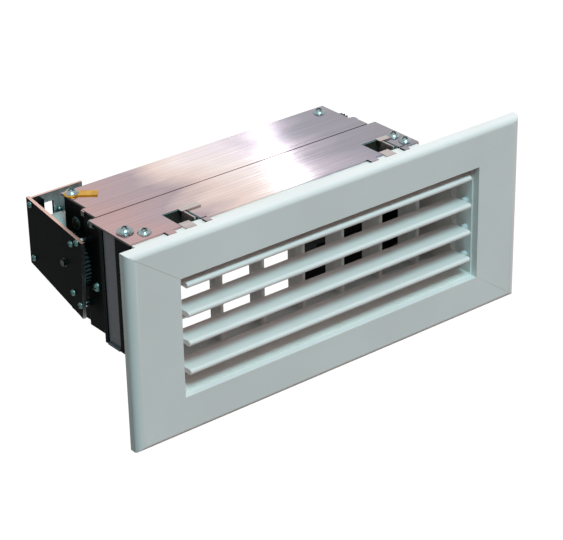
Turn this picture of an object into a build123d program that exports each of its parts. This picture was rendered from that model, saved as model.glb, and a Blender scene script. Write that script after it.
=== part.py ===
from build123d import *
import math
import os

# Motorized damper grille. All sizes are in millimetres.
# It is drawn with y = 0 on the front face, +X to the right as seen from the
# room, +Y into the duct and +Z up. At the end every piece moves forward so
# that y = 0 lies halfway along the depth.

# Front frame
frame_width = 253.4
frame_height = 107.0
side_border = 29.5
top_border = 21.0
frame_thickness = 6.6
bullnose = 3.3
frame_wall = 1.4
leg_wall = 1.4
mitre_gap = 0.12
carrier_front = 4.2
carrier_wall = 1.0
key_side_gap = 6.0
key_side_width = 10.0
key_top_gap = 4.0
key_top_width = 8.0
key_reach = 14.0

# Neck and body: how far each step lies inside the one before it
body_inset = 2.2
body_rise = 0.5
mid_step = 4.8
rear_step = 2.6
neck_wall = 1.2
plate = 1.0
side_sheet = 1.2
seam_gap = 0.7
channel_depth = 1.6
strip_thickness = 1.0
strip_lip = 1.2
fixing_flange = 10.0

# Lengths along the duct, each counted from the one before it
neck_rear = 55.0
neck_lap = 10.0
channel_offset = 3.4
channel_width = 11.4
split_offset = 2.5
seam_offset = 8.7
joggle_offset = 12.0
rear_length = 24.4
damper_inset = 13.4

# Openings in the bottom plates
window_margin = 3.6
window_front_edge = 6.0
front_window_length = 15.0
rear_window_edge = 7.2
rear_window_length = 19.0

# Front blades
blade_count = 4
blade_top_gap = 5.7
blade_bottom_gap = 11.6
blade_end_gap = 4.4
blade_front = 0.8
blade_rear = 15.9
blade_nose = 3.0
blade_tail = 1.6
blade_pin = 1.0
bush_radius = 1.8

# Upright vanes
vane_count = 7
vane_side_gap = 14.6
vane_front = 26.9
vane_rear = 40.9
vane_angle = 4.0
vane_angle_step = -4.8
vane_nose = 2.6
vane_tail = 1.4
vane_pin = 1.2
vane_rail_width = 9.0
vane_rail_thick = 2.0

# Damper and its gears
damper_count = 3
damper_middle = 1.0
damper_top_gap = 2.0
damper_edge_gap = 0.4
damper_end_gap = 2.0
damper_skin = 1.6
damper_barrel = 3.3
damper_shaft = 2.5
damper_bush = 3.5
damper_journal = 1.5
journal_bush = 2.4
link_teeth = 28
link_width = 2.2
drive_module = 0.7
drive_teeth = 44
pinion_teeth = 18

# Motor and its bracket
bracket_gap = 1.5
bracket_sheet = 2.0
bracket_flange = 1.5
bracket_reach = 34.0
bracket_low = 19.0
bracket_high = 18.4
motor_rise = 6.2
motor_radius = 10.2
motor_back_gap = 1.0
motor_plate_sheet = 1.2
gearbox_reach = 14.5
motor_reach = 35.0
motor_shaft = 1.5
standoff_radius = 1.7

# Control module
module_gap = 0.4
module_width = 45.0
module_step_width = 64.0
module_height = 12.0
module_step_height = 9.0
module_rear_gap = 2.0

# Screws
shank = 1.4
head_radius = 3.7
head_height = 2.3
screw_length = 4.2
side_head_radius = 2.8
side_head_height = 2.4
side_screw_length = 3.6
small_shank = 1.1
small_head = 1.9
small_height = 1.5
ear_screw_length = 5.6
washer_height = 0.8
washer_radius = 4.5
tab_ring_radius = 4.2
tab_length = 10.4
tab_width = 5.4

# Spring clips
clip_half = 6.5
clip_offset = 2.5
clip_length = 14.7
clip_depth = 8.0
clip_wall = 0.6
clip_sheet = 0.8
tongue_width = 4.0
tongue_length = 15.0
hook_length = 3.5

# Clearances
running = 0.05
side_gap = 0.3

# Sizes across that follow from the ones above
open_x = frame_width / 2 - side_border
open_z = frame_height / 2 - top_border
mitre = side_border / top_border
leg_x = leg_wall * mitre
body_half_width = open_x - body_inset
body_half_height = open_z + body_rise
mid_half_width = body_half_width - mid_step
rear_half_width = mid_half_width - rear_step
skin_z = body_half_height - plate
neck_x = body_half_width - side_sheet
neck_in_x = neck_x - neck_wall
neck_in_z = skin_z - neck_wall
channel_floor = body_half_width - channel_depth
window_half = rear_half_width - window_margin

# Places along the duct
leg_end = blade_rear + side_gap
body_front = neck_rear - neck_lap
channel_front = neck_rear + channel_offset
channel_rear = channel_front + channel_width
side_split = channel_rear + split_offset
bottom_split = side_split - split_offset + 1.0
body_seam = side_split + seam_offset
joggle = body_seam + joggle_offset
body_rear = joggle + rear_length
damper_y = body_rear - damper_inset
front_window_start = body_front + window_front_edge
front_window_end = front_window_start + front_window_length
rear_window_start = bottom_split + rear_window_edge
rear_window_end = rear_window_start + rear_window_length

# Front blades and upright vanes
blade_pivot = (blade_front + blade_rear) / 2
blade_half_length = open_x - blade_end_gap
blade_first = open_z - blade_top_gap
blade_pitch = (2 * open_z - blade_top_gap - blade_bottom_gap) / (blade_count - 1)
blade_heights = [blade_first - i * blade_pitch for i in range(blade_count)]
vane_pivot = (vane_front + vane_rear) / 2
vane_pitch = 2 * (neck_in_x - vane_side_gap) / (vane_count - 1)
vane_steps = [i - (vane_count - 1) / 2 for i in range(vane_count)]
vane_places = [step * vane_pitch for step in vane_steps]
vane_turns = [vane_angle + step * vane_angle_step for step in vane_steps]
rail_z = neck_in_z - vane_rail_thick

# Damper, its gears and the motor that drives it
damper_pitch = 2 * (skin_z - damper_top_gap - damper_middle + damper_edge_gap) / damper_count
damper_half_chord = damper_pitch / 2 - damper_edge_gap
damper_half_length = rear_half_width - damper_end_gap
damper_heights = [damper_middle + damper_pitch, damper_middle, damper_middle - damper_pitch]
link_module = damper_pitch / link_teeth
bracket_face = -body_half_width - bracket_gap
gear_low = bracket_face + bracket_sheet + side_gap
gear_high = -mid_half_width - side_gap
drive_centres = drive_module * (drive_teeth + pinion_teeth) / 2
motor_z = damper_middle + motor_rise
motor_y = damper_y + math.sqrt(drive_centres ** 2 - motor_rise ** 2)
side_end = motor_y - motor_radius - side_gap
plate_high = gear_high + side_gap + motor_plate_sheet
gearbox_inner = bracket_face + gearbox_reach
motor_inner = bracket_face + motor_reach
bracket_rear = motor_y + motor_radius + motor_back_gap + bracket_flange
bracket_end = bracket_face + bracket_reach
middle_y = bracket_rear / 2

# Where the screws and the clips sit on the body, as (x, y)
neck_screws = [(13.5 - body_half_width, neck_rear - 3.5), (body_half_width - 5.0, neck_rear - 4.5)]
neck_low_screws = [(6.0 - body_half_width, neck_rear - 4.0), (body_half_width - 6.0, neck_rear - 4.0)]
flange_screws = [(6.4 - body_half_width, neck_rear + 3.2), (body_half_width - 5.0, neck_rear + 4.8)]
rear_screws = [(3.6 - rear_half_width, body_rear - 5.0), (rear_half_width - 7.4, body_rear - 6.0)]
clip_centres = [38.0 - body_half_width, body_half_width - 19.4]
clip_front = body_front + clip_offset
clip_rear = clip_front + clip_length
tongue_front = clip_rear - clip_wall - tongue_width

# Where the screws sit on the left side, as (y, z), and on the bracket's flange, as (x, z)
side_screws = [(body_seam + 4.0, body_half_height - 4.7), (body_seam + 3.2, damper_middle - 8.4)]
standoffs = [(joggle - 1.8, damper_middle + 16.0), (joggle - 1.8, damper_middle - 20.0)]
plate_screws = [(joggle + 3.7, damper_middle + 13.4), (joggle + 4.4, damper_middle - 14.9)]
ear_screws = [(bracket_rear - 3.6, motor_z + 16.0), (bracket_rear - 3.6, motor_z - 15.1)]
flange_screw = (bracket_face + 19.2, motor_z + 6.6)

# Colours for a first look
white = (0.80, 0.82, 0.81)
bare = (0.72, 0.70, 0.72)
dark = (0.06, 0.06, 0.065)
grey = (0.30, 0.32, 0.35)
nylon = (0.78, 0.82, 0.83)
steel = (0.70, 0.71, 0.72)
brass = (0.75, 0.50, 0.12)
black = (0.02, 0.02, 0.02)

parts = {}


def add(name, shape, colour):
    if isinstance(shape, list):
        shape = Compound(children=shape)
    placed = Pos(0, -middle_y, 0) * shape
    placed.label = name
    placed.color = Color(*colour)
    parts[name] = placed


def block(x0, x1, y0, y1, z0, z1):
    return Pos((x0 + x1) / 2, (y0 + y1) / 2, (z0 + z1) / 2) * Box(x1 - x0, y1 - y0, z1 - z0)


def rod_x(y, z, x0, x1, r):
    return Pos((x0 + x1) / 2, y, z) * Rot(0, 90, 0) * Cylinder(r, x1 - x0)


def rod_y(x, z, y0, y1, r):
    return Pos(x, (y0 + y1) / 2, z) * Rot(90, 0, 0) * Cylinder(r, y1 - y0)


def rod_z(x, y, z0, z1, r):
    return Pos(x, y, (z0 + z1) / 2) * Cylinder(r, z1 - z0)


def prism(points, direction):
    # a closed outline pushed along one direction
    face = Face(Wire(Polyline(*points, close=True).edges()))
    return Solid.extrude(face, Vector(*direction))


def mirror_x(shape):
    return mirror(shape, about=Plane.YZ)


def both_sides(shape):
    return [shape, mirror_x(shape)]


# Front frame: four hollow rails with a rounded outer edge and a leg along the
# opening, mitred from the opening's corners to the frame's corners
def rail_section(border, stretch):
    nose = bullnose * stretch
    leg = leg_wall * stretch
    start = border - nose
    floor = frame_thickness - leg_wall
    with BuildSketch() as section:
        with BuildLine():
            Line((0, 0), (start, 0))
            EllipticalCenterArc((start, bullnose), nose, bullnose, start_angle=-90, arc_size=90)
            Line((border, bullnose), (border, frame_thickness))
            Line((border, frame_thickness), (leg, frame_thickness))
            Line((leg, frame_thickness), (leg, leg_end))
            Line((leg, leg_end), (0, leg_end))
            Line((0, leg_end), (0, 0))
        make_face()
        hollow = border - bullnose * stretch - 2 * frame_wall * stretch
        with Locations((frame_wall * stretch + hollow / 2, (frame_wall + floor) / 2)):
            Rectangle(hollow, floor - frame_wall, mode=Mode.SUBTRACT)
    return section.sketch


def rail_wedge(corners):
    points = [(x, -1, z) for x, z in corners]
    return prism(points, (0, leg_end + 2, 0))


def top_rail():
    # the section's own axes point up from the opening and into the wall
    place = Plane(origin=(frame_width / 2, 0, open_z), x_dir=(0, 0, 1), z_dir=(-1, 0, 0))
    bar = extrude(place * rail_section(top_border, 1.0), amount=frame_width)
    inner = open_x - mitre_gap
    outer = frame_width / 2 - mitre_gap
    top = frame_height / 2
    return bar & rail_wedge([(-inner, open_z), (inner, open_z), (outer, top), (-outer, top)])


def right_rail():
    place = Plane(origin=(open_x, 0, -frame_height / 2), x_dir=(1, 0, 0), z_dir=(0, 0, 1))
    bar = extrude(place * rail_section(side_border, mitre), amount=frame_height)
    half = frame_width / 2
    top = frame_height / 2
    rail = bar & rail_wedge([(open_x, -open_z), (half, -top), (half, top), (open_x, open_z)])
    for z in blade_heights:
        rail -= rod_x(blade_pivot, z, open_x - 1, open_x + leg_x, bush_radius)
    return rail


def corner_key():
    # an angle that fits the hollow of two rails at a corner
    low = frame_wall
    high = frame_thickness - leg_wall
    inner_x = open_x + key_side_gap
    outer_x = inner_x + key_side_width
    inner_z = open_z + key_top_gap
    outer_z = inner_z + key_top_width
    along = block(open_x - key_reach, outer_x, low, high, inner_z, outer_z)
    return along + block(inner_x, outer_x, low, high, inner_z - key_reach, outer_z)


upper_rail = top_rail()
outer_rail = right_rail()
add("frame_top_rail", upper_rail, white)
add("frame_bottom_rail", mirror(upper_rail, about=Plane.XY), white)
add("frame_right_rail", outer_rail, white)
add("frame_left_rail", mirror_x(outer_rail), white)
upper_key = corner_key()
add("corner_keys", both_sides(upper_key) + both_sides(mirror(upper_key, about=Plane.XY)), bare)


# A thin ring inside the legs that carries the bushes of the front blades
def blade_carrier():
    inner_x = open_x - carrier_wall
    inner_z = open_z - carrier_wall
    ring = block(-open_x, open_x, carrier_front, leg_end, -open_z, open_z)
    ring -= block(-inner_x, inner_x, carrier_front - 1, leg_end + 1, -inner_z, inner_z)
    for z in blade_heights:
        for hole in both_sides(rod_x(blade_pivot, z, inner_x - 1, open_x + 1, bush_radius)):
            ring -= hole
    return ring


add("blade_carrier", blade_carrier(), white)


# Neck: a duct of thin sheet with a flange that closes against the legs
def neck():
    rim_x = open_x + leg_x
    rim_z = open_z + leg_wall
    flange = block(-rim_x, rim_x, leg_end, leg_end + neck_wall, -rim_z, rim_z)
    tube = block(-neck_x, neck_x, leg_end, neck_rear, -skin_z, skin_z)
    duct = flange + tube
    duct -= block(-neck_in_x, neck_in_x, leg_end - 1, neck_rear + 1, -neck_in_z, neck_in_z)
    for cx in clip_centres:
        duct -= block(cx - clip_half, cx + clip_half, clip_front, neck_rear + 1, neck_in_z - 1, skin_z + 1)
    for x, y in neck_screws:
        duct -= rod_z(x, y, neck_in_z - 1, skin_z + 1, shank)
    for x, y in neck_low_screws:
        duct -= rod_z(x, y, -skin_z - 1, -neck_in_z + 1, shank)
    return duct


add("neck", neck(), white)


# Top of the body: two plates with a seam across
def top_front_plate():
    low = skin_z
    high = body_half_height
    sheet = block(-body_half_width, body_half_width, body_front, body_seam, low, high)
    for cx in clip_centres:
        left = cx - clip_half
        right = cx + clip_half
        sheet -= block(left, right, body_front - 1, clip_rear, low - 1, high + 1)
        sheet -= block(right - 1, right + hook_length, body_front + 0.8, body_front + 1.6, low - 1, high + 1)
        sheet += block(left - 10.5, left - 5.5, body_front - hook_length, body_front, low, high)
        sheet += block(right, right + hook_length, body_front - hook_length, body_front, low, high)
    ear = block(-body_half_width, 1.6 - body_half_width, body_seam - 3.2, body_seam - 0.4, low - 2, low)
    for tab in both_sides(ear):
        sheet += tab
    for x, y in neck_screws + flange_screws:
        sheet -= rod_z(x, y, low - 1, high + 1, shank)
    return sheet


def top_rear_plate():
    low = skin_z
    high = body_half_height
    front = body_seam + seam_gap
    sheet = block(-mid_half_width, mid_half_width, front, joggle + side_sheet, low, high)
    sheet += block(-rear_half_width, rear_half_width, front, body_rear, low, high)
    ear = block(-mid_half_width - 0.9, -mid_half_width, joggle - 2, joggle + 0.8, low - 2, high - 0.2)
    for tab in both_sides(ear):
        sheet += tab
    for x, y in rear_screws:
        sheet -= rod_z(x, y, low - 1, high + 1, shank)
    return sheet


add("top_front_plate", top_front_plate(), bare)
add("top_rear_plate", top_rear_plate(), bare)


# Bottom of the body: two plates with a wide opening in each
def bottom_front_plate():
    low = -body_half_height
    high = -skin_z
    side = body_half_width - side_sheet
    notch = channel_floor - side_sheet
    sheet = block(-side, side, body_front, bottom_split, low, high)
    side_notch = block(notch, side + 1, channel_front - side_sheet, bottom_split + 1, low - 1, high + 1)
    for recess in both_sides(side_notch):
        sheet -= recess
    sheet -= block(-window_half, window_half, front_window_start, front_window_end, low - 1, high + 1)
    for x, y in neck_low_screws:
        sheet -= rod_z(x, y, low - 1, high + 1, shank)
    return sheet


def bottom_rear_plate():
    low = -body_half_height
    high = -skin_z
    front = bottom_split + seam_gap
    middle = mid_half_width - side_sheet
    back = rear_half_width - side_sheet
    sheet = block(-middle, middle, front, joggle - side_sheet, low, high)
    sheet += block(-back, back, front, side_end, low, high)
    sheet -= block(-window_half, window_half, rear_window_start, rear_window_end, low - 1, high + 1)
    for x, y in rear_screws:
        sheet -= rod_z(x, y, low - 1, high + 1, shank)
    return sheet


add("bottom_front_plate", bottom_front_plate(), bare)
add("bottom_rear_plate", bottom_rear_plate(), bare)


# Sides of the body, drawn for the left and mirrored for the right
def front_side(screw):
    outer = -body_half_width
    inner = outer + side_sheet
    back = -mid_half_width + side_sheet
    wall = side_sheet
    foot = -body_half_height
    sheet = block(outer, inner, body_front, side_split, foot, skin_z)
    sheet += block(outer, back, side_split - wall, side_split, foot, skin_z)
    box_low = channel_front - wall
    box_high = channel_rear + wall
    sheet += block(outer, -channel_floor + wall, box_low, box_high, foot, skin_z)
    sheet += block(inner, inner + fixing_flange, neck_rear + 1, box_high, skin_z - wall, skin_z)
    sheet -= block(outer - 1, -channel_floor, channel_front, channel_rear, foot - 1, skin_z + 1)
    return sheet - rod_z(-abs(screw[0]), screw[1], skin_z - 3, skin_z + 1, shank)


def rear_side(screw):
    outer = -mid_half_width
    back = -rear_half_width
    wall = side_sheet
    foot = -body_half_height
    sheet = block(outer, outer + wall, side_split, joggle, foot, skin_z)
    sheet += block(outer, back + wall, joggle - wall, joggle, foot, skin_z)
    sheet += block(back, back + wall, joggle - wall, side_end, foot, skin_z)
    for z0, z1 in ((skin_z - wall, skin_z), (-skin_z, -skin_z + wall)):
        sheet += block(back + wall, back + fixing_flange, damper_y + damper_bush, side_end, z0, z1)
    sheet -= rod_z(-abs(screw[0]), screw[1], -skin_z - 1, skin_z + 1, shank)
    for z in damper_heights:
        sheet -= rod_x(damper_y, z, outer - 1, back + wall + 1, damper_bush)
    return sheet


left_rear_side = rear_side(rear_screws[0])
for y, z in side_screws:
    left_rear_side -= rod_x(y, z, -mid_half_width - 1, -mid_half_width + side_sheet + 1, shank)
for y, z in standoffs:
    left_rear_side -= rod_x(y, z, -mid_half_width - 1, -mid_half_width + side_sheet + 1, small_shank)
add("left_front_side", front_side(flange_screws[0]), dark)
add("right_front_side", mirror_x(front_side(flange_screws[1])), dark)
add("left_rear_side", left_rear_side, dark)
add("right_rear_side", mirror_x(rear_side(rear_screws[1])), dark)


# A light strip lies in the channel of each side and ends in a lip at its foot
def side_strip():
    front = channel_front + 0.4
    rear = channel_rear - 0.4
    foot = -body_half_height
    strip = block(-channel_floor - strip_thickness, -channel_floor, front, rear, foot, skin_z - 0.5)
    return strip + block(-body_half_width - 0.6, -channel_floor, front, rear, foot, foot + strip_lip)


add("left_side_strip", side_strip(), grey)
add("right_side_strip", mirror_x(side_strip()), grey)


# A pan head screw that stands on z = 0, with a cross recess
def pan_screw(head, height, radius, length):
    crown = (head ** 2 + height ** 2) / (2 * height)
    dome = Pos(0, 0, height - crown) * Sphere(crown)
    cap = dome & block(-head, head, -head, head, 0, height + 1)
    slot = head * 0.13
    reach = head * 0.55
    cap -= block(-reach, reach, -slot, slot, height * 0.5, height + 1)
    cap -= block(-slot, slot, -reach, reach, height * 0.5, height + 1)
    return cap + Pos(0, 0, -length / 2) * Cylinder(radius, length)


def top_screw(x, y, lift):
    screw = pan_screw(head_radius, head_height, shank, screw_length + lift)
    return Pos(x, y, body_half_height + lift) * screw


def bottom_screw(x, y):
    screw = pan_screw(head_radius, head_height, shank, screw_length)
    return Pos(x, y, -body_half_height) * Rot(180, 0, 0) * screw


def washer(x, y, outer):
    low = body_half_height
    ring = rod_z(x, y, low, low + washer_height, outer)
    return ring - rod_z(x, y, low - 1, low + washer_height + 1, shank)


def earth_tab():
    x, y = rear_screws[0]
    reach = tab_ring_radius - 1.2 + tab_length / 2
    tongue = Rot(0, 0, -38) * Pos(reach, 0, 0) * Box(tab_length, tab_width, washer_height)
    tongue = Pos(x, y, body_half_height + washer_height / 2) * tongue
    return washer(x, y, tab_ring_radius) + tongue


top_fixings = [top_screw(x, y, 0) for x, y in neck_screws + flange_screws[1:] + rear_screws[1:]]
top_fixings += [top_screw(x, y, washer_height) for x, y in (flange_screws[0], rear_screws[0])]
add("top_screws", top_fixings, steel)
add("screw_washer", washer(flange_screws[0][0], flange_screws[0][1], washer_radius), steel)
add("earth_tab", earth_tab(), brass)
add("bottom_screws", [bottom_screw(x, y) for x, y in neck_low_screws + rear_screws], steel)


# Spring clips: a cup in each opening of the top front plate, and a bent strip
# that rises from the cup, with a tongue on the plate and a foot on the neck
def clip_cup(cx):
    left = cx - clip_half
    right = cx + clip_half
    low = body_half_height - clip_depth
    high = body_half_height - 0.2
    inside = block(left + clip_wall, right - clip_wall, clip_front + clip_wall, clip_rear - clip_wall,
                   low + clip_wall, high + 1)
    mouth = block(left + clip_wall, right - clip_wall, clip_front - 1, clip_front + clip_wall + 1,
                  skin_z, high + 1)
    return block(left, right, clip_front, clip_rear, low, high) - inside - mouth


def clip_spring(cx, tongue_end):
    top = body_half_height
    left = cx - clip_half + clip_wall
    right = cx + clip_half - clip_wall
    front = clip_front + clip_wall
    rear = clip_rear - clip_wall
    floor = top - clip_depth + clip_wall
    foot_end = left + clip_half
    strip = block(left, right, front, rear, floor, floor + clip_sheet)
    strip += block(right - clip_sheet, right, tongue_front, rear, floor, top + clip_sheet)
    strip += block(right - 3.0, tongue_end, tongue_front, rear, top, top + clip_sheet)
    lean = [
        (right - 3.4, floor),
        (right - 3.4 + clip_sheet, floor),
        (right - 1.2, top + 0.4),
        (right - 1.2 - clip_sheet, top + 0.4),
    ]
    strip += prism([(x, front, z) for x, z in lean], (0, tongue_front + 0.5 - front, 0))
    strip += block(left, foot_end, front, front + clip_sheet, floor, skin_z + clip_sheet)
    foot = block(left, foot_end, body_front - hook_length, front + clip_sheet, skin_z, skin_z + clip_sheet)
    return strip + foot


tongue_ends = [clip_centres[0] + tongue_length, flange_screws[1][0] - head_radius - side_gap]
for side, cx, tongue_end in zip(("left", "right"), clip_centres, tongue_ends):
    add(side + "_clip_cup", clip_cup(cx), black)
    add(side + "_clip_spring", clip_spring(cx, tongue_end), steel)


# Front blades: a round nose, a thinner tail and a pin at each end
def leaf_outline(front, rear, nose, tail):
    n = nose / 2
    t = tail / 2
    with BuildSketch() as section:
        with BuildLine():
            Line((front + n, n), (rear - t, t))
            ThreePointArc((rear - t, t), (rear, 0), (rear - t, -t))
            Line((rear - t, -t), (front + n, -n))
            ThreePointArc((front + n, -n), (front, 0), (front + n, n))
        make_face()
    return section.sketch


def front_blade(z):
    outline = leaf_outline(blade_front, blade_rear, blade_nose, blade_tail)
    bar = extrude(Plane.YZ * outline, amount=blade_half_length, both=True)
    pin_end = open_x + leg_x - side_gap
    return Pos(0, 0, z) * (bar + rod_x(blade_pivot, 0, -pin_end, pin_end, blade_pin))


def blade_bush(z):
    sleeve = rod_x(blade_pivot, z, blade_half_length + side_gap, open_x + leg_x, bush_radius)
    return sleeve - rod_x(blade_pivot, z, blade_half_length, open_x + leg_x + 1, blade_pin + running)


bushes = []
for number, z in enumerate(blade_heights, start=1):
    add("front_blade_%d" % number, front_blade(z), white)
    bushes += both_sides(blade_bush(z))
add("blade_bushes", bushes, nylon)


# Upright vanes, with their pins in a rail above and a rail below
def vane(x, turn):
    outline = leaf_outline(vane_front - vane_pivot, vane_rear - vane_pivot, vane_nose, vane_tail)
    upright = Plane(origin=(0, 0, 0), x_dir=(0, 1, 0), z_dir=(0, 0, 1))
    leaf = extrude(upright * outline, amount=rail_z - side_gap, both=True)
    pin_end = neck_in_z - side_gap
    leaf += rod_z(0, 0, -pin_end, pin_end, vane_pin)
    return Pos(x, vane_pivot, 0) * Rot(0, 0, -turn) * leaf


def vane_rail():
    half = vane_rail_width / 2
    rail = block(-neck_in_x, neck_in_x, vane_pivot - half, vane_pivot + half, rail_z, neck_in_z)
    for x in vane_places:
        rail -= rod_z(x, vane_pivot, rail_z - 1, neck_in_z + 1, vane_pin + running)
    return rail


for number, (x, turn) in enumerate(zip(vane_places, vane_turns), start=1):
    add("vane_%d" % number, vane(x, turn), white)
add("vane_rail_top", vane_rail(), nylon)
add("vane_rail_bottom", mirror(vane_rail(), about=Plane.XY), nylon)


# A spur gear with straight flanks whose first tooth points at an angle
# measured from +Y towards +Z
def spur_gear(y, z, teeth, module, x0, x1, bore, turn):
    pitch = teeth * module / 2
    tip = pitch + 0.80 * module
    root = pitch - 1.15 * module
    flank = ((root, -0.30), (pitch, -0.22), (tip, -0.10), (tip, 0.10), (pitch, 0.22), (root, 0.30))
    points = []
    for i in range(teeth):
        for radius, share in flank:
            angle = math.radians(turn) + 2 * math.pi * (i + share) / teeth
            points.append((x0, y + radius * math.cos(angle), z + radius * math.sin(angle)))
    return prism(points, (x1 - x0, 0, 0)) - rod_x(y, z, x0 - 1, x1 + 1, bore)


# Damper: three blades that turn against each other
def damper_blade(z, right_end):
    half = damper_half_length
    front = damper_y - damper_half_chord
    rear = damper_y + damper_half_chord
    skin = block(-half, half, front, rear, z - damper_skin / 2, z + damper_skin / 2)
    barrel = rod_x(damper_y, z, -half, half, damper_barrel)
    return skin + barrel + rod_x(damper_y, z, -rear_half_width - 1, right_end, damper_shaft)


link_low = mid_half_width + side_gap
link_high = link_low + link_width
link_turns = (-90, 90 + 180 / link_teeth, 90)
damper_names = ("top", "middle", "bottom")
for name, z, turn in zip(damper_names, damper_heights, link_turns):
    blade = damper_blade(z, link_high + 0.6)
    if name == "middle":
        blade += rod_x(damper_y, z, gear_low, -rear_half_width, damper_shaft)
        blade += rod_x(damper_y, z, bracket_face - 0.6, gear_low, damper_journal)
        blade += rod_x(damper_y, z, bracket_face - 1.6, bracket_face - 0.2, 1.8)
    add("damper_blade_" + name, blade, bare)
    wheel = spur_gear(damper_y, z, link_teeth, link_module, link_low, link_high, damper_shaft, turn)
    add("link_gear_" + name, wheel, nylon)

aim = math.degrees(math.atan2(motor_rise, motor_y - damper_y))
drive = spur_gear(damper_y, damper_middle, drive_teeth, drive_module, gear_low, gear_high, damper_shaft, aim)
add("drive_gear", drive, nylon)
mesh = aim + 180 + 180 / pinion_teeth
pinion = spur_gear(motor_y, motor_z, pinion_teeth, drive_module, gear_low, gear_high, motor_shaft, mesh)
add("motor_pinion", pinion, brass)


# Bushes for the damper shafts
def damper_bush_ring(z):
    low = -rear_half_width - 0.6
    high = -damper_half_length - side_gap
    bore = rod_x(damper_y, z, low - 1, high + 1, damper_shaft + running)
    return rod_x(damper_y, z, low, high, damper_bush) - bore


def plate_bush():
    low = bracket_face
    high = bracket_face + bracket_sheet
    ring = rod_x(damper_y, damper_middle, low, high, journal_bush)
    return ring - rod_x(damper_y, damper_middle, low - 1, high + 1, damper_journal + running)


rings = [plate_bush()]
for z in damper_heights:
    rings += both_sides(damper_bush_ring(z))
add("damper_bushes", rings, nylon)


# Motor bracket: a tapered plate beside the body and a flange behind the motor
def motor_bracket():
    face = bracket_face
    inner = face + bracket_sheet
    rear = bracket_rear
    foot = motor_z - bracket_low
    head = motor_z + bracket_high
    front_edge = [(damper_y - 17.4, damper_middle + 17.2), (damper_y - 14.1, damper_middle - 27.5)]
    outline = [front_edge[0], (rear, head + 0.8), (rear, foot), front_edge[1]]
    sheet = prism([(face, y, z) for y, z in outline], (bracket_sheet, 0, 0))
    flange = block(face, bracket_end, rear - bracket_flange, rear, foot, head)
    flange -= block(face + 3.4, face + 15.5, rear - bracket_flange - 1, rear + 1,
                    motor_z + 2.4, motor_z + 13.1)
    sheet += flange
    sheet -= rod_x(damper_y, damper_middle, face - 1, inner + 1, journal_bush)
    for y, z in plate_screws + ear_screws + standoffs:
        sheet -= rod_x(y, z, face - 1, inner + 1, small_shank)
    return sheet - rod_y(flange_screw[0], flange_screw[1], rear - bracket_flange - 1, rear + 1, small_shank)


def side_screw(y, z, face, head, height, radius, length):
    return Pos(face, y, z) * Rot(0, -90, 0) * pan_screw(head, height, radius, length)


heads = []
for y, z in plate_screws:
    heads.append(side_screw(y, z, bracket_face, small_head, small_height, small_shank, bracket_sheet))
for y, z in ear_screws + standoffs:
    heads.append(side_screw(y, z, bracket_face, small_head, small_height, small_shank, ear_screw_length))
flange_head = pan_screw(small_head, small_height, small_shank, bracket_flange)
flange_place = Pos(flange_screw[0], bracket_rear - bracket_flange, flange_screw[1])
heads.append(flange_place * Rot(90, 0, 0) * flange_head)
add("motor_bracket", motor_bracket(), dark)
add("bracket_screws", heads, steel)
wide_heads = []
for y, z in side_screws:
    screw = side_screw(y, z, -mid_half_width, side_head_radius, side_head_height, shank, side_screw_length)
    wide_heads.append(screw)
add("side_screws", wide_heads, steel)


def standoff(y, z):
    low = bracket_face + bracket_sheet
    sleeve = rod_x(y, z, low, -mid_half_width, standoff_radius)
    return sleeve - rod_x(y, z, low - 1, -mid_half_width + 1, small_shank)


add("standoffs", [standoff(y, z) for y, z in standoffs], steel)


# Gearmotor: a dark plate on two feet, a round gearbox on it and the motor's can
def motor_plate():
    low = plate_high - motor_plate_sheet
    high = plate_high
    foot = bracket_face + bracket_sheet
    heights = [z for y, z in ear_screws]
    ear_y = ear_screws[0][0]
    sheet = rod_x(motor_y, motor_z, low, high, motor_radius)
    sheet += block(low, high, ear_y - 2, ear_y + 2, min(heights) - 2.4, max(heights) + 1.6)
    for y, z in ear_screws:
        sheet += rod_x(y, z, foot, low, 1.8)
        sheet -= rod_x(y, z, foot - 1, foot + 3.6, small_shank)
    return sheet - rod_x(motor_y, motor_z, low - 1, high + 1, motor_shaft + running)


def gearbox():
    case = rod_x(motor_y, motor_z, plate_high, gearbox_inner, motor_radius)
    return case - rod_x(motor_y, motor_z, plate_high - 1, gearbox_inner + 1, motor_shaft + running)


def motor_can():
    can = rod_x(motor_y, motor_z, gearbox_inner, motor_inner, motor_radius)
    return can + rod_x(motor_y, motor_z, motor_inner, motor_inner + 1.5, 3.2)


add("motor_plate", motor_plate(), dark)
add("gearbox", gearbox(), nylon)
add("motor_can", motor_can(), steel)
shaft = rod_x(motor_y, motor_z, gear_low, gearbox_inner - side_gap, motor_shaft)
add("motor_shaft", shaft, steel)


# Control module over the openings at the bottom right
def control_module():
    right = rear_half_width - side_sheet - module_gap
    front = neck_rear + side_gap
    step = front_window_end + 1
    rear = joggle - module_rear_gap
    case = block(right - module_width, right, step, rear, -skin_z, module_height - skin_z)
    return case + block(right - module_step_width, right, front, step, -skin_z, module_step_height - skin_z)


add("control_module", control_module(), black)

os.makedirs("parts", exist_ok=True)
for name, piece in parts.items():
    export_step(piece, "parts/%s.step" % name)
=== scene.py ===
import math

import bpy
from mathutils import Matrix, Vector

# A motorized damper grille on a plain white ground, in metres.
# +X is to the right seen from the room, +Y runs into the duct, +Z is up.

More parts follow.
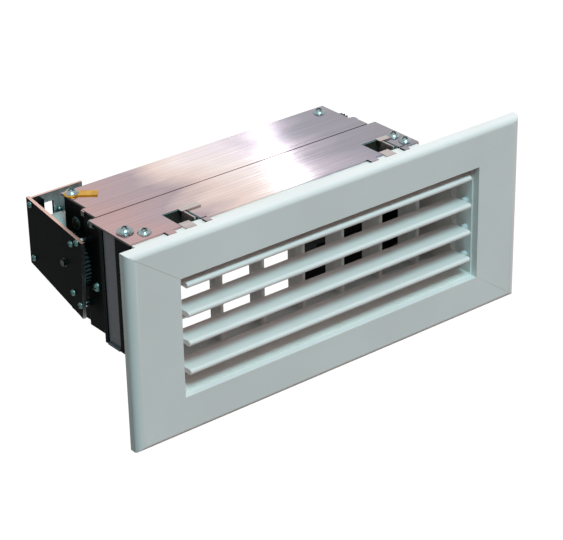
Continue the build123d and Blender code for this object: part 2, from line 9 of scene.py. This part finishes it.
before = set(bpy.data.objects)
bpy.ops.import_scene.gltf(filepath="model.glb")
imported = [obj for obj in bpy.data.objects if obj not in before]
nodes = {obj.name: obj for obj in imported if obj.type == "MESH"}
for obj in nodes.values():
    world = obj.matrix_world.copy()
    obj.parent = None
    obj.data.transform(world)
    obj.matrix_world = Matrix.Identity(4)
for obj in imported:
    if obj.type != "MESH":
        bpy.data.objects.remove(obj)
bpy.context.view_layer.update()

# Camera: where it stands and how it looks, from the picture's perspective
camera_place = Vector((-0.59936, -0.78422, 0.48687))
camera_azimuth = math.radians(38.2)
camera_elevation = math.radians(27.3)
camera_roll = math.radians(-1.2)
camera_lens = 133.0
camera_sensor = 36.0
nearest_seen = 0.05
farthest_seen = 20.0


def make_camera():
    data = bpy.data.cameras.new("camera")
    data.lens = camera_lens
    data.sensor_width = camera_sensor
    data.clip_start = nearest_seen
    data.clip_end = farthest_seen
    camera = bpy.data.objects.new("camera", data)
    bpy.context.scene.collection.objects.link(camera)
    level = math.cos(camera_elevation)
    away = Vector((
        -math.sin(camera_azimuth) * level,
        -math.cos(camera_azimuth) * level,
        math.sin(camera_elevation),
    ))
    right = (-away).cross(Vector((0, 0, 1))).normalized()
    up = right.cross(-away)
    turned_right = math.cos(camera_roll) * right + math.sin(camera_roll) * up
    turned_up = -math.sin(camera_roll) * right + math.cos(camera_roll) * up
    turn = Matrix((turned_right, turned_up, away)).transposed()
    camera.matrix_world = Matrix.Translation(camera_place) @ turn.to_4x4()
    bpy.context.scene.camera = camera


make_camera()

# Noise lies mostly between these two values
noise_low = 0.3
noise_high = 0.7

# A colour mix node's own sockets, by number, because their names aren't unique
mix_first = 6
mix_second = 7
mix_result = 2


# Small helpers for nodes
def new_material(name):
    material = bpy.data.materials.new(name)
    material.use_nodes = True
    tree = material.node_tree
    shader = tree.nodes["Principled BSDF"]
    return material, tree, shader


def feed(tree, socket, value):
    # a number or a colour sets the socket, and another node's output is linked to it
    if isinstance(value, (float, tuple)):
        socket.default_value = value
    else:
        tree.links.new(value, socket)


def solid(colour):
    return (*colour, 1.0)


def shade(colour, factor):
    return tuple(min(1.0, part * factor) for part in colour)


def axes_of(tree, coordinate):
    # the X, Y and Z of a texture coordinate, such as Object, Normal or Generated
    place = tree.nodes.new("ShaderNodeTexCoord")
    axes = tree.nodes.new("ShaderNodeSeparateXYZ")
    feed(tree, axes.inputs["Vector"], place.outputs[coordinate])
    return axes.outputs


def calculate(tree, operation, *values):
    node = tree.nodes.new("ShaderNodeMath")
    node.operation = operation
    for socket, value in zip(node.inputs, values):
        feed(tree, socket, value)
    return node.outputs["Value"]


def map_range(tree, value, start, end, low=0.0, high=1.0):
    # the value's way from start to end, as a way from low to high that stops there
    node = tree.nodes.new("ShaderNodeMapRange")
    node.inputs["From Min"].default_value = start
    node.inputs["From Max"].default_value = end
    node.inputs["To Min"].default_value = low
    node.inputs["To Max"].default_value = high
    feed(tree, node.inputs["Value"], value)
    return node.outputs["Result"]


def object_noise(tree, cells, detail=3.0, rough=0.5):
    # noise over the object's own coordinates, with so many cells per metre on each axis
    place = tree.nodes.new("ShaderNodeTexCoord")
    scale = tree.nodes.new("ShaderNodeMapping")
    noise = tree.nodes.new("ShaderNodeTexNoise")
    scale.inputs["Scale"].default_value = cells
    noise.inputs["Scale"].default_value = 1.0
    noise.inputs["Detail"].default_value = detail
    noise.inputs["Roughness"].default_value = rough
    feed(tree, scale.inputs["Vector"], place.outputs["Object"])
    feed(tree, noise.inputs["Vector"], scale.outputs["Vector"])
    return noise.outputs["Fac"]


def ramp(tree, value, stops):
    node = tree.nodes.new("ShaderNodeValToRGB")
    band = node.color_ramp
    while len(band.elements) < len(stops):
        band.elements.new(0.5)
    for element, (place, colour) in zip(band.elements, stops):
        element.position = place
        element.color = solid(colour)
    feed(tree, node.inputs["Fac"], value)
    return node.outputs["Color"]


def clouded(tree, noise, low, high):
    # a tint that the noise takes from one colour to the other
    return ramp(tree, noise, [(noise_low, low), (noise_high, high)])


def mix_colour(tree, share, first, second, blend="MIX"):
    node = tree.nodes.new("ShaderNodeMix")
    node.data_type = "RGBA"
    node.blend_type = blend
    feed(tree, node.inputs["Factor"], share)
    feed(tree, node.inputs[mix_first], first)
    feed(tree, node.inputs[mix_second], second)
    return node.outputs[mix_result]


def paint_shade_below(tree, coordinate, limit, tint):
    # paints shade: darkens a tint where the X of a coordinate (place or normal) is below the limit
    below = calculate(tree, "LESS_THAN", axes_of(tree, coordinate)["X"], limit)
    return mix_colour(tree, below, tint, solid(painted_shade_tint))


def uneven_gloss(tree, shader, noise, roughness, smoother, rougher):
    # a roughness that the noise takes down by smoother and up by rougher
    low = roughness - smoother
    high = roughness + rougher
    feed(tree, shader.inputs["Roughness"], map_range(tree, noise, noise_low, noise_high, low, high))


def bump(tree, shader, height, strength, distance):
    node = tree.nodes.new("ShaderNodeBump")
    node.inputs["Strength"].default_value = strength
    node.inputs["Distance"].default_value = distance
    feed(tree, node.inputs["Height"], height)
    feed(tree, shader.inputs["Normal"], node.outputs["Normal"])


# Noise cells per metre on each axis: even for grain, and few where streaks run long
cloud_cells = (22.0, 22.0, 22.0)
grain_cells = (500.0, 500.0, 500.0)
brass_cells = (300.0, 300.0, 300.0)
streak_cells = (6.0, 900.0, 900.0)
clip_cells = (20.0, 800.0, 800.0)
bracket_cells = (500.0, 500.0, 12.0)
plate_cloud_cells = (16.0, 40.0, 40.0)
plate_streak_cells = (7.0, 1100.0, 1100.0)
streak_detail = 4.0
streak_rough = 0.6
grain_detail = 2.0

# The same for the peel of paints and the grain of plastics, even on all axes
fine_peel = 900.0
coarse_peel = 500.0
moulded_peel = 700.0
module_peel = 1500.0

# Depth of the unevenness that the peel and the streaks show
peel_depth = 0.00012
streak_depth = 0.00006

# Streaks go from the darker to the brighter metal between these two noise values
streak_low = 0.32
streak_high = 0.68

# Painted shade: the dark tint put on sheet edges that face left, and on the damper's shafts beyond its
# end
painted_shade_tint = (0.012, 0.018, 0.018)
damper_left_end = -0.0865

# The top sheets' painted reflection tints follow one another over this distance each way from the
# middle, and the cloud shifts them by up to half of the wander
painted_reflection_reach = 0.095
painted_reflection_wander = 0.34

# A normal counts as facing left, up or to the bracket's inside from these values on
facing_left = -0.5
facing_up = 0.6
facing_inside = 0.5


# Sprayed or powder coated paint: slight cloudiness and a fine orange peel
def coated(name, colour, roughness, peel=fine_peel, cloud=0.03, shine=0.4):
    material, tree, shader = new_material(name)
    drift = object_noise(tree, cloud_cells)
    tint = clouded(tree, drift, shade(colour, 1 - cloud), shade(colour, 1 + cloud))
    grain = object_noise(tree, (peel, peel, peel), grain_detail)
    feed(tree, shader.inputs["Base Color"], tint)
    uneven_gloss(tree, shader, grain, roughness, smoother=0.05, rougher=0.05)
    bump(tree, shader, grain, strength=0.12, distance=peel_depth)
    shader.inputs["Specular IOR Level"].default_value = shine
    return material


# Bare metal with fine streaks, which run along X unless the cells say otherwise,
# and painted shade to the left of the given end
def streaked(name, low, high, roughness, cells=streak_cells, painted_shade_end=None):
    material, tree, shader = new_material(name)
    streak = object_noise(tree, cells, streak_detail, streak_rough)
    tint = ramp(tree, streak, [(streak_low, low), (streak_high, high)])
    if painted_shade_end is not None:
        tint = paint_shade_below(tree, "Object", painted_shade_end, tint)
    feed(tree, shader.inputs["Base Color"], tint)
    uneven_gloss(tree, shader, streak, roughness, smoother=0.06, rougher=0.08)
    bump(tree, shader, streak, strength=0.10, distance=streak_depth)
    shader.inputs["Metallic"].default_value = 1.0
    return material


# Rolled sheet with a painted reflection whose tints drift from left to right, a painted glare included,
# and with painted shade on edges that face left
def sheet_with_painted_reflection(name, reflection_tints, roughness):
    material, tree, shader = new_material(name)
    along = map_range(tree, axes_of(tree, "Object")["X"], -painted_reflection_reach, painted_reflection_reach)
    cloud = object_noise(tree, plate_cloud_cells)
    wander = calculate(tree, "MULTIPLY_ADD", cloud, painted_reflection_wander, along)
    tint = ramp(tree, calculate(tree, "SUBTRACT", wander, painted_reflection_wander / 2), reflection_tints)
    streak = object_noise(tree, plate_streak_cells, streak_detail, streak_rough)
    grain = clouded(tree, streak, (0.82, 0.82, 0.83), (1.0, 1.0, 1.0))
    brushed = mix_colour(tree, 1.0, tint, grain, blend="MULTIPLY")
    feed(tree, shader.inputs["Base Color"], paint_shade_below(tree, "Normal", facing_left, brushed))
    uneven_gloss(tree, shader, streak, roughness, smoother=0.03, rougher=0.05)
    bump(tree, shader, streak, strength=0.22, distance=streak_depth)
    shader.inputs["Metallic"].default_value = 1.0
    return material


# Bare sheet with painted shade on its outside, and bare cut edges along its top painted pink and bright
# as a painted highlight of light from above
def sheet_with_painted_shade_outside(name, outside_shade, bare, cut_edge_highlight, roughness, shine):
    material, tree, shader = new_material(name)
    normal = axes_of(tree, "Normal")
    streak = object_noise(tree, bracket_cells, streak_detail, streak_rough)
    grain = object_noise(tree, grain_cells, grain_detail)
    metal = clouded(tree, streak, shade(bare, 0.8), shade(bare, 1.15))
    paint = clouded(tree, grain, shade(outside_shade, 0.9), shade(outside_shade, 1.1))
    inward = calculate(tree, "SUBTRACT", normal["X"], normal["Y"])
    on_inside = calculate(tree, "GREATER_THAN", inward, facing_inside)
    on_top = calculate(tree, "GREATER_THAN", normal["Z"], facing_up)
    faces = mix_colour(tree, on_inside, paint, metal)
    feed(tree, shader.inputs["Base Color"], mix_colour(tree, on_top, faces, solid(cut_edge_highlight)))
    feed(tree, shader.inputs["Metallic"], calculate(tree, "MAXIMUM", on_inside, on_top))
    uneven_gloss(tree, shader, streak, roughness, smoother=0.05, rougher=0.05)
    shader.inputs["Specular IOR Level"].default_value = shine
    return material


# Painted reflection on the top sheets, with a painted glare in the middle, as tints from their left end
# to their right end
painted_reflection_tints = [
    (0.05, (0.55, 0.36, 0.355)),
    (0.23, (0.46, 0.36, 0.39)),
    (0.34, (0.86, 0.68, 0.62)),
    (0.45, (0.97, 0.85, 0.82)),
    (0.56, (0.90, 0.80, 0.85)),
    (0.67, (0.54, 0.48, 0.55)),
    (0.82, (0.34, 0.32, 0.38)),
    (0.98, (0.30, 0.28, 0.31)),
]

# Paints
frame_paint = coated("frame_paint", (0.82, 0.79, 0.775), 0.4, shine=0.02)
blade_paint = coated("blade_paint", (0.83, 0.79, 0.77), 0.34, shine=0.2)
vane_paint = coated("vane_paint", (0.76, 0.76, 0.74), 0.4, shine=0.2)
duct_paint = coated("duct_paint", (0.80, 0.78, 0.75), 0.45, shine=0.2)
# painted shade: black standing in for the deep shade and dark reflections on the side sheets and the
# motor plate
painted_shade_black = coated("painted_shade_black", (0.005, 0.006, 0.006), 0.32, peel=coarse_peel, cloud=0.1, shine=0.01)
# painted highlight: teal glints on the bevelled edges of the black sheets
painted_edge_glint = coated("painted_edge_glint", (0.015, 0.075, 0.068), 0.35, peel=coarse_peel, cloud=0.1, shine=0.2)
strip_paint = coated("strip_paint", (0.055, 0.062, 0.078), 0.38, peel=coarse_peel, cloud=0.1, shine=0.25)
cup_steel = coated("cup_steel", (0.03, 0.028, 0.022), 0.35, peel=coarse_peel, cloud=0.1, shine=0.2)
# painted highlight: teal glints on the bevelled rims of the clip cups
cup_painted_glint = coated("cup_painted_glint", (0.10, 0.21, 0.20), 0.35, peel=coarse_peel, cloud=0.1, shine=0.3)

# Plastics
nylon = coated("nylon", (0.62, 0.66, 0.66), 0.45, peel=moulded_peel)
gear_nylon = coated("gear_nylon", (0.035, 0.05, 0.05), 0.45, peel=moulded_peel, cloud=0.05, shine=0.1)
case_nylon = coated("case_nylon", (0.34, 0.42, 0.41), 0.45, peel=moulded_peel, cloud=0.05, shine=0.3)
module_plastic = coated("module_plastic", (0.008, 0.008, 0.009), 0.6, module_peel, cloud=0.1, shine=0.1)

# Metals
# the top sheets carry a painted reflection and painted glare
plate_metal_painted_reflection = sheet_with_painted_reflection("plate_metal_painted_reflection", painted_reflection_tints, 0.08)
bare_metal = streaked("bare_metal", (0.34, 0.30, 0.31), (0.46, 0.41, 0.42), 0.36)
# the damper's shafts beyond its left end carry painted shade
damper_metal = streaked(
    "damper_metal", (0.34, 0.31, 0.30), (0.44, 0.41, 0.40), 0.38, painted_shade_end=damper_left_end
)
zinc = streaked("zinc", (0.22, 0.27, 0.28), (0.36, 0.43, 0.44), 0.22, grain_cells)
# painted shade: a darker teal copy of zinc for the bracket and side screws and the motor shaft, which
# sit in shade on the left
zinc_in_painted_shade = streaked("zinc_in_painted_shade", (0.04, 0.09, 0.085), (0.09, 0.17, 0.16), 0.3, grain_cells)
clip_metal = streaked("clip_metal", (0.44, 0.38, 0.37), (0.58, 0.52, 0.50), 0.3, clip_cells)
brass = streaked("brass", (0.52, 0.26, 0.02), (0.70, 0.40, 0.06), 0.34, brass_cells)
# the bracket's outside is painted shade and dark reflection, and its up-facing edges a painted highlight
bracket_sheet = sheet_with_painted_shade_outside(
    "bracket_sheet",
    outside_shade=(0.006, 0.007, 0.007),
    bare=(0.46, 0.49, 0.49),
    cut_edge_highlight=(0.74, 0.50, 0.43),
    roughness=0.37,
    shine=0.01,
)

# How edges are rounded: faces that are flat to within flat_angle are joined first,
# and what turns by more than sharp_angle is rounded
weld_distance = 0.000002
flat_angle = math.radians(0.5)
sharp_angle = math.radians(40)
edge_steps = 2
fine_edge = 0.0001
frame_edge = 0.00015
sheet_edge = 0.0002
cup_rim = 0.00028
side_edge = 0.00035


def dress(names, material, edge=None, edge_material=None):
    # puts a material on each named node, and rounds its edges where a width is given
    for name in names:
        piece = nodes[name]
        piece.data.materials.clear()
        piece.data.materials.append(material)
        for face in piece.data.polygons:
            face.material_index = 0
        if edge is not None:
            round_edges(piece, edge)
        if edge_material is not None:
            piece.data.materials.append(edge_material)
            piece.modifiers["round_edge"].material = 1


def round_edges(piece, width):
    weld = piece.modifiers.new("weld", "WELD")
    weld.merge_threshold = weld_distance
    flat = piece.modifiers.new("flat_faces", "DECIMATE")
    flat.decimate_type = "DISSOLVE"
    flat.angle_limit = flat_angle
    bevel = piece.modifiers.new("round_edge", "BEVEL")
    bevel.width = width
    bevel.segments = edge_steps
    bevel.limit_method = "ANGLE"
    bevel.angle_limit = sharp_angle
    bevel.harden_normals = True


def starting(*starts):
    return [name for name in nodes if name.startswith(starts)]


# Front: frame, blades, vanes and neck
dress(starting("frame_"), frame_paint, frame_edge)
dress(["blade_carrier"], duct_paint, fine_edge)
dress(starting("front_blade"), blade_paint)
dress([name for name in starting("vane_") if "rail" not in name], vane_paint)
dress(["blade_bushes", "vane_rail_top", "vane_rail_bottom"], nylon, sheet_edge)
dress(["neck"], duct_paint, sheet_edge)

# Body: bare sheets, sides in painted shade black with painted edge glints, and their strips
dress(["top_front_plate", "top_rear_plate"], plate_metal_painted_reflection, sheet_edge)
dress(["bottom_front_plate", "bottom_rear_plate", "corner_keys"], bare_metal, sheet_edge)
dress(["left_front_side", "left_rear_side"], painted_shade_black, side_edge, painted_edge_glint)
dress(["right_front_side", "right_rear_side"], painted_shade_black, side_edge, painted_edge_glint)
dress(["left_side_strip", "right_side_strip"], strip_paint, sheet_edge)

# Damper, its gears and the motor
dress(starting("damper_blade"), damper_metal, sheet_edge)
dress(["damper_bushes"], gear_nylon, sheet_edge)
dress(starting("link_gear", "drive_gear"), gear_nylon)
dress(["motor_bracket"], bracket_sheet, sheet_edge)
dress(["motor_plate"], painted_shade_black, sheet_edge)
dress(["gearbox"], case_nylon, sheet_edge)
dress(["motor_can"], zinc, sheet_edge)
dress(["motor_shaft"], zinc_in_painted_shade, sheet_edge)
dress(["control_module"], module_plastic, fine_edge)

# Small parts: brass, screws and clips
dress(["motor_pinion", "earth_tab"], brass, fine_edge)
dress(["top_screws", "bottom_screws", "screw_washer", "standoffs"], zinc, fine_edge)
dress(["bracket_screws", "side_screws"], zinc_in_painted_shade, fine_edge)
dress(["left_clip_spring", "right_clip_spring"], clip_metal, fine_edge)
dress(["left_clip_cup", "right_clip_cup"], cup_steel, cup_rim, cup_painted_glint)

# World light by direction: from the left (0) to the right (1) in front of the object
# and behind it, with more from overhead on top. It is the rear's alone where a
# direction points rearward by rear_in_full or more.
black = (0.0, 0.0, 0.0)
white = (1.0, 1.0, 1.0)
front_sides = [
    (0.0, black),
    (0.38, (0.01, 0.01, 0.01)),
    (0.52, (0.38, 0.27, 0.24)),
    (0.72, (0.54, 0.40, 0.36)),
    (1.0, (0.56, 0.44, 0.40)),
]
rear_sides = [
    (0.0, (0.0, 0.01, 0.01)),
    (0.32, (0.04, 0.06, 0.06)),
    (0.55, (0.50, 0.50, 0.50)),
    (1.0, (0.62, 0.62, 0.61)),
]
rear_in_full = 0.4
overhead = (0.50, 0.20, 0.84)
overhead_colour = (0.72, 0.52, 0.52)

# Ground: far below the object, so that its shadow stays faint
floor_half = 4.0
floor_height = -0.45
floor_colour = (0.14, 0.12, 0.11)
floor_roughness = 0.9
floor_glow = 0.92

# Key lamp: its direction points from the object to the lamp
key_energy = 2.25
key_spread = math.radians(20)
key_colour = (0.50, 0.93, 1.0)
key_direction = Vector((-0.18, -0.50, 0.85))

# Panel: a narrow lamp, and the way that its long side runs
panel_width = 0.018
panel_length = 0.36
panel_energy = 0.06
panel_colour = (1.0, 0.97, 0.97)
panel_place = Vector((0.536, 0.664, 0.400))
panel_run = Vector((-0.26, -0.93, 0.24))


def seen_directly(tree):
    # 1 for the camera and for what mirrors and glass show, and 0 for light on the object
    path = tree.nodes.new("ShaderNodeLightPath")
    rays = path.outputs
    mirrored = calculate(tree, "MAXIMUM", rays["Is Camera Ray"], rays["Is Glossy Ray"])
    return calculate(tree, "MAXIMUM", mirrored, rays["Is Transmission Ray"])


# Warm light from the right and above, hardly any from the left, a plain grey behind.
# Where it is seen directly, the world is plain white instead.
def make_world():
    world = bpy.data.worlds.new("studio")
    bpy.context.scene.world = world
    world.use_nodes = True
    tree = world.node_tree
    direction = axes_of(tree, "Generated")
    across = map_range(tree, direction["X"], -1.0, 1.0)
    front_light = ramp(tree, across, front_sides)
    rear_light = ramp(tree, across, rear_sides)
    rearward = map_range(tree, direction["Y"], 0.0, rear_in_full)
    level = mix_colour(tree, rearward, front_light, rear_light)
    place = tree.nodes.new("ShaderNodeTexCoord")
    towards = tree.nodes.new("ShaderNodeVectorMath")
    towards.operation = "DOT_PRODUCT"
    towards.inputs[1].default_value = overhead
    feed(tree, towards.inputs[0], place.outputs["Generated"])
    above = ramp(tree, towards.outputs["Value"], [(0.0, black), (1.0, overhead_colour)])
    total = tree.nodes.new("ShaderNodeVectorMath")
    total.operation = "ADD"
    feed(tree, total.inputs[0], level)
    feed(tree, total.inputs[1], above)
    fill = tree.nodes["Background"]
    feed(tree, fill.inputs["Color"], total.outputs[0])
    plain = tree.nodes.new("ShaderNodeBackground")
    plain.inputs["Color"].default_value = solid(white)
    choice = tree.nodes.new("ShaderNodeMixShader")
    feed(tree, choice.inputs["Fac"], seen_directly(tree))
    feed(tree, choice.inputs[1], fill.outputs[0])
    feed(tree, choice.inputs[2], plain.outputs[0])
    feed(tree, tree.nodes["World Output"].inputs["Surface"], choice.outputs[0])


# Floor that catches shadows, and adds white where it is seen directly
def make_floor():
    half = floor_half
    outline = [(-half, -half), (half, -half), (half, half), (-half, half)]
    mesh = bpy.data.meshes.new("floor")
    mesh.from_pydata([(x, y, floor_height) for x, y in outline], [], [(0, 1, 2, 3)])
    floor = bpy.data.objects.new("floor", mesh)
    bpy.context.scene.collection.objects.link(floor)
    material, tree, shader = new_material("floor_white")
    shader.inputs["Base Color"].default_value = solid(floor_colour)
    shader.inputs["Roughness"].default_value = floor_roughness
    shader.inputs["Specular IOR Level"].default_value = 0.0
    glow = tree.nodes.new("ShaderNodeEmission")
    glow.inputs["Color"].default_value = solid(white)
    feed(tree, glow.inputs["Strength"], calculate(tree, "MULTIPLY", seen_directly(tree), floor_glow))
    both = tree.nodes.new("ShaderNodeAddShader")
    feed(tree, both.inputs[0], shader.outputs[0])
    feed(tree, both.inputs[1], glow.outputs[0])
    feed(tree, tree.nodes["Material Output"].inputs["Surface"], both.outputs[0])
    mesh.materials.append(material)


# The key stands high in front, a little to the left, and is a cool lamp
def make_key():
    data = bpy.data.lights.new("key", "SUN")
    data.energy = key_energy
    data.angle = key_spread
    data.color = key_colour
    key = bpy.data.objects.new("key", data)
    key.rotation_euler = key_direction.to_track_quat("Z", "Y").to_euler()
    bpy.context.scene.collection.objects.link(key)


# A narrow panel behind and to the right glances off the top sheets
def make_panel():
    data = bpy.data.lights.new("panel", "AREA")
    data.shape = "RECTANGLE"
    data.size = panel_width
    data.size_y = panel_length
    data.energy = panel_energy
    data.color = panel_colour
    panel = bpy.data.objects.new("panel", data)
    panel.location = panel_place
    panel.visible_camera = False
    along = panel_run.normalized()
    across = along.cross(panel_place.normalized()).normalized()
    turn = Matrix((across, along, across.cross(along))).transposed()
    panel.rotation_euler = turn.to_euler()
    bpy.context.scene.collection.objects.link(panel)


make_world()
make_floor()
make_key()
make_panel()
bpy.context.scene.view_settings.view_transform = "Standard"
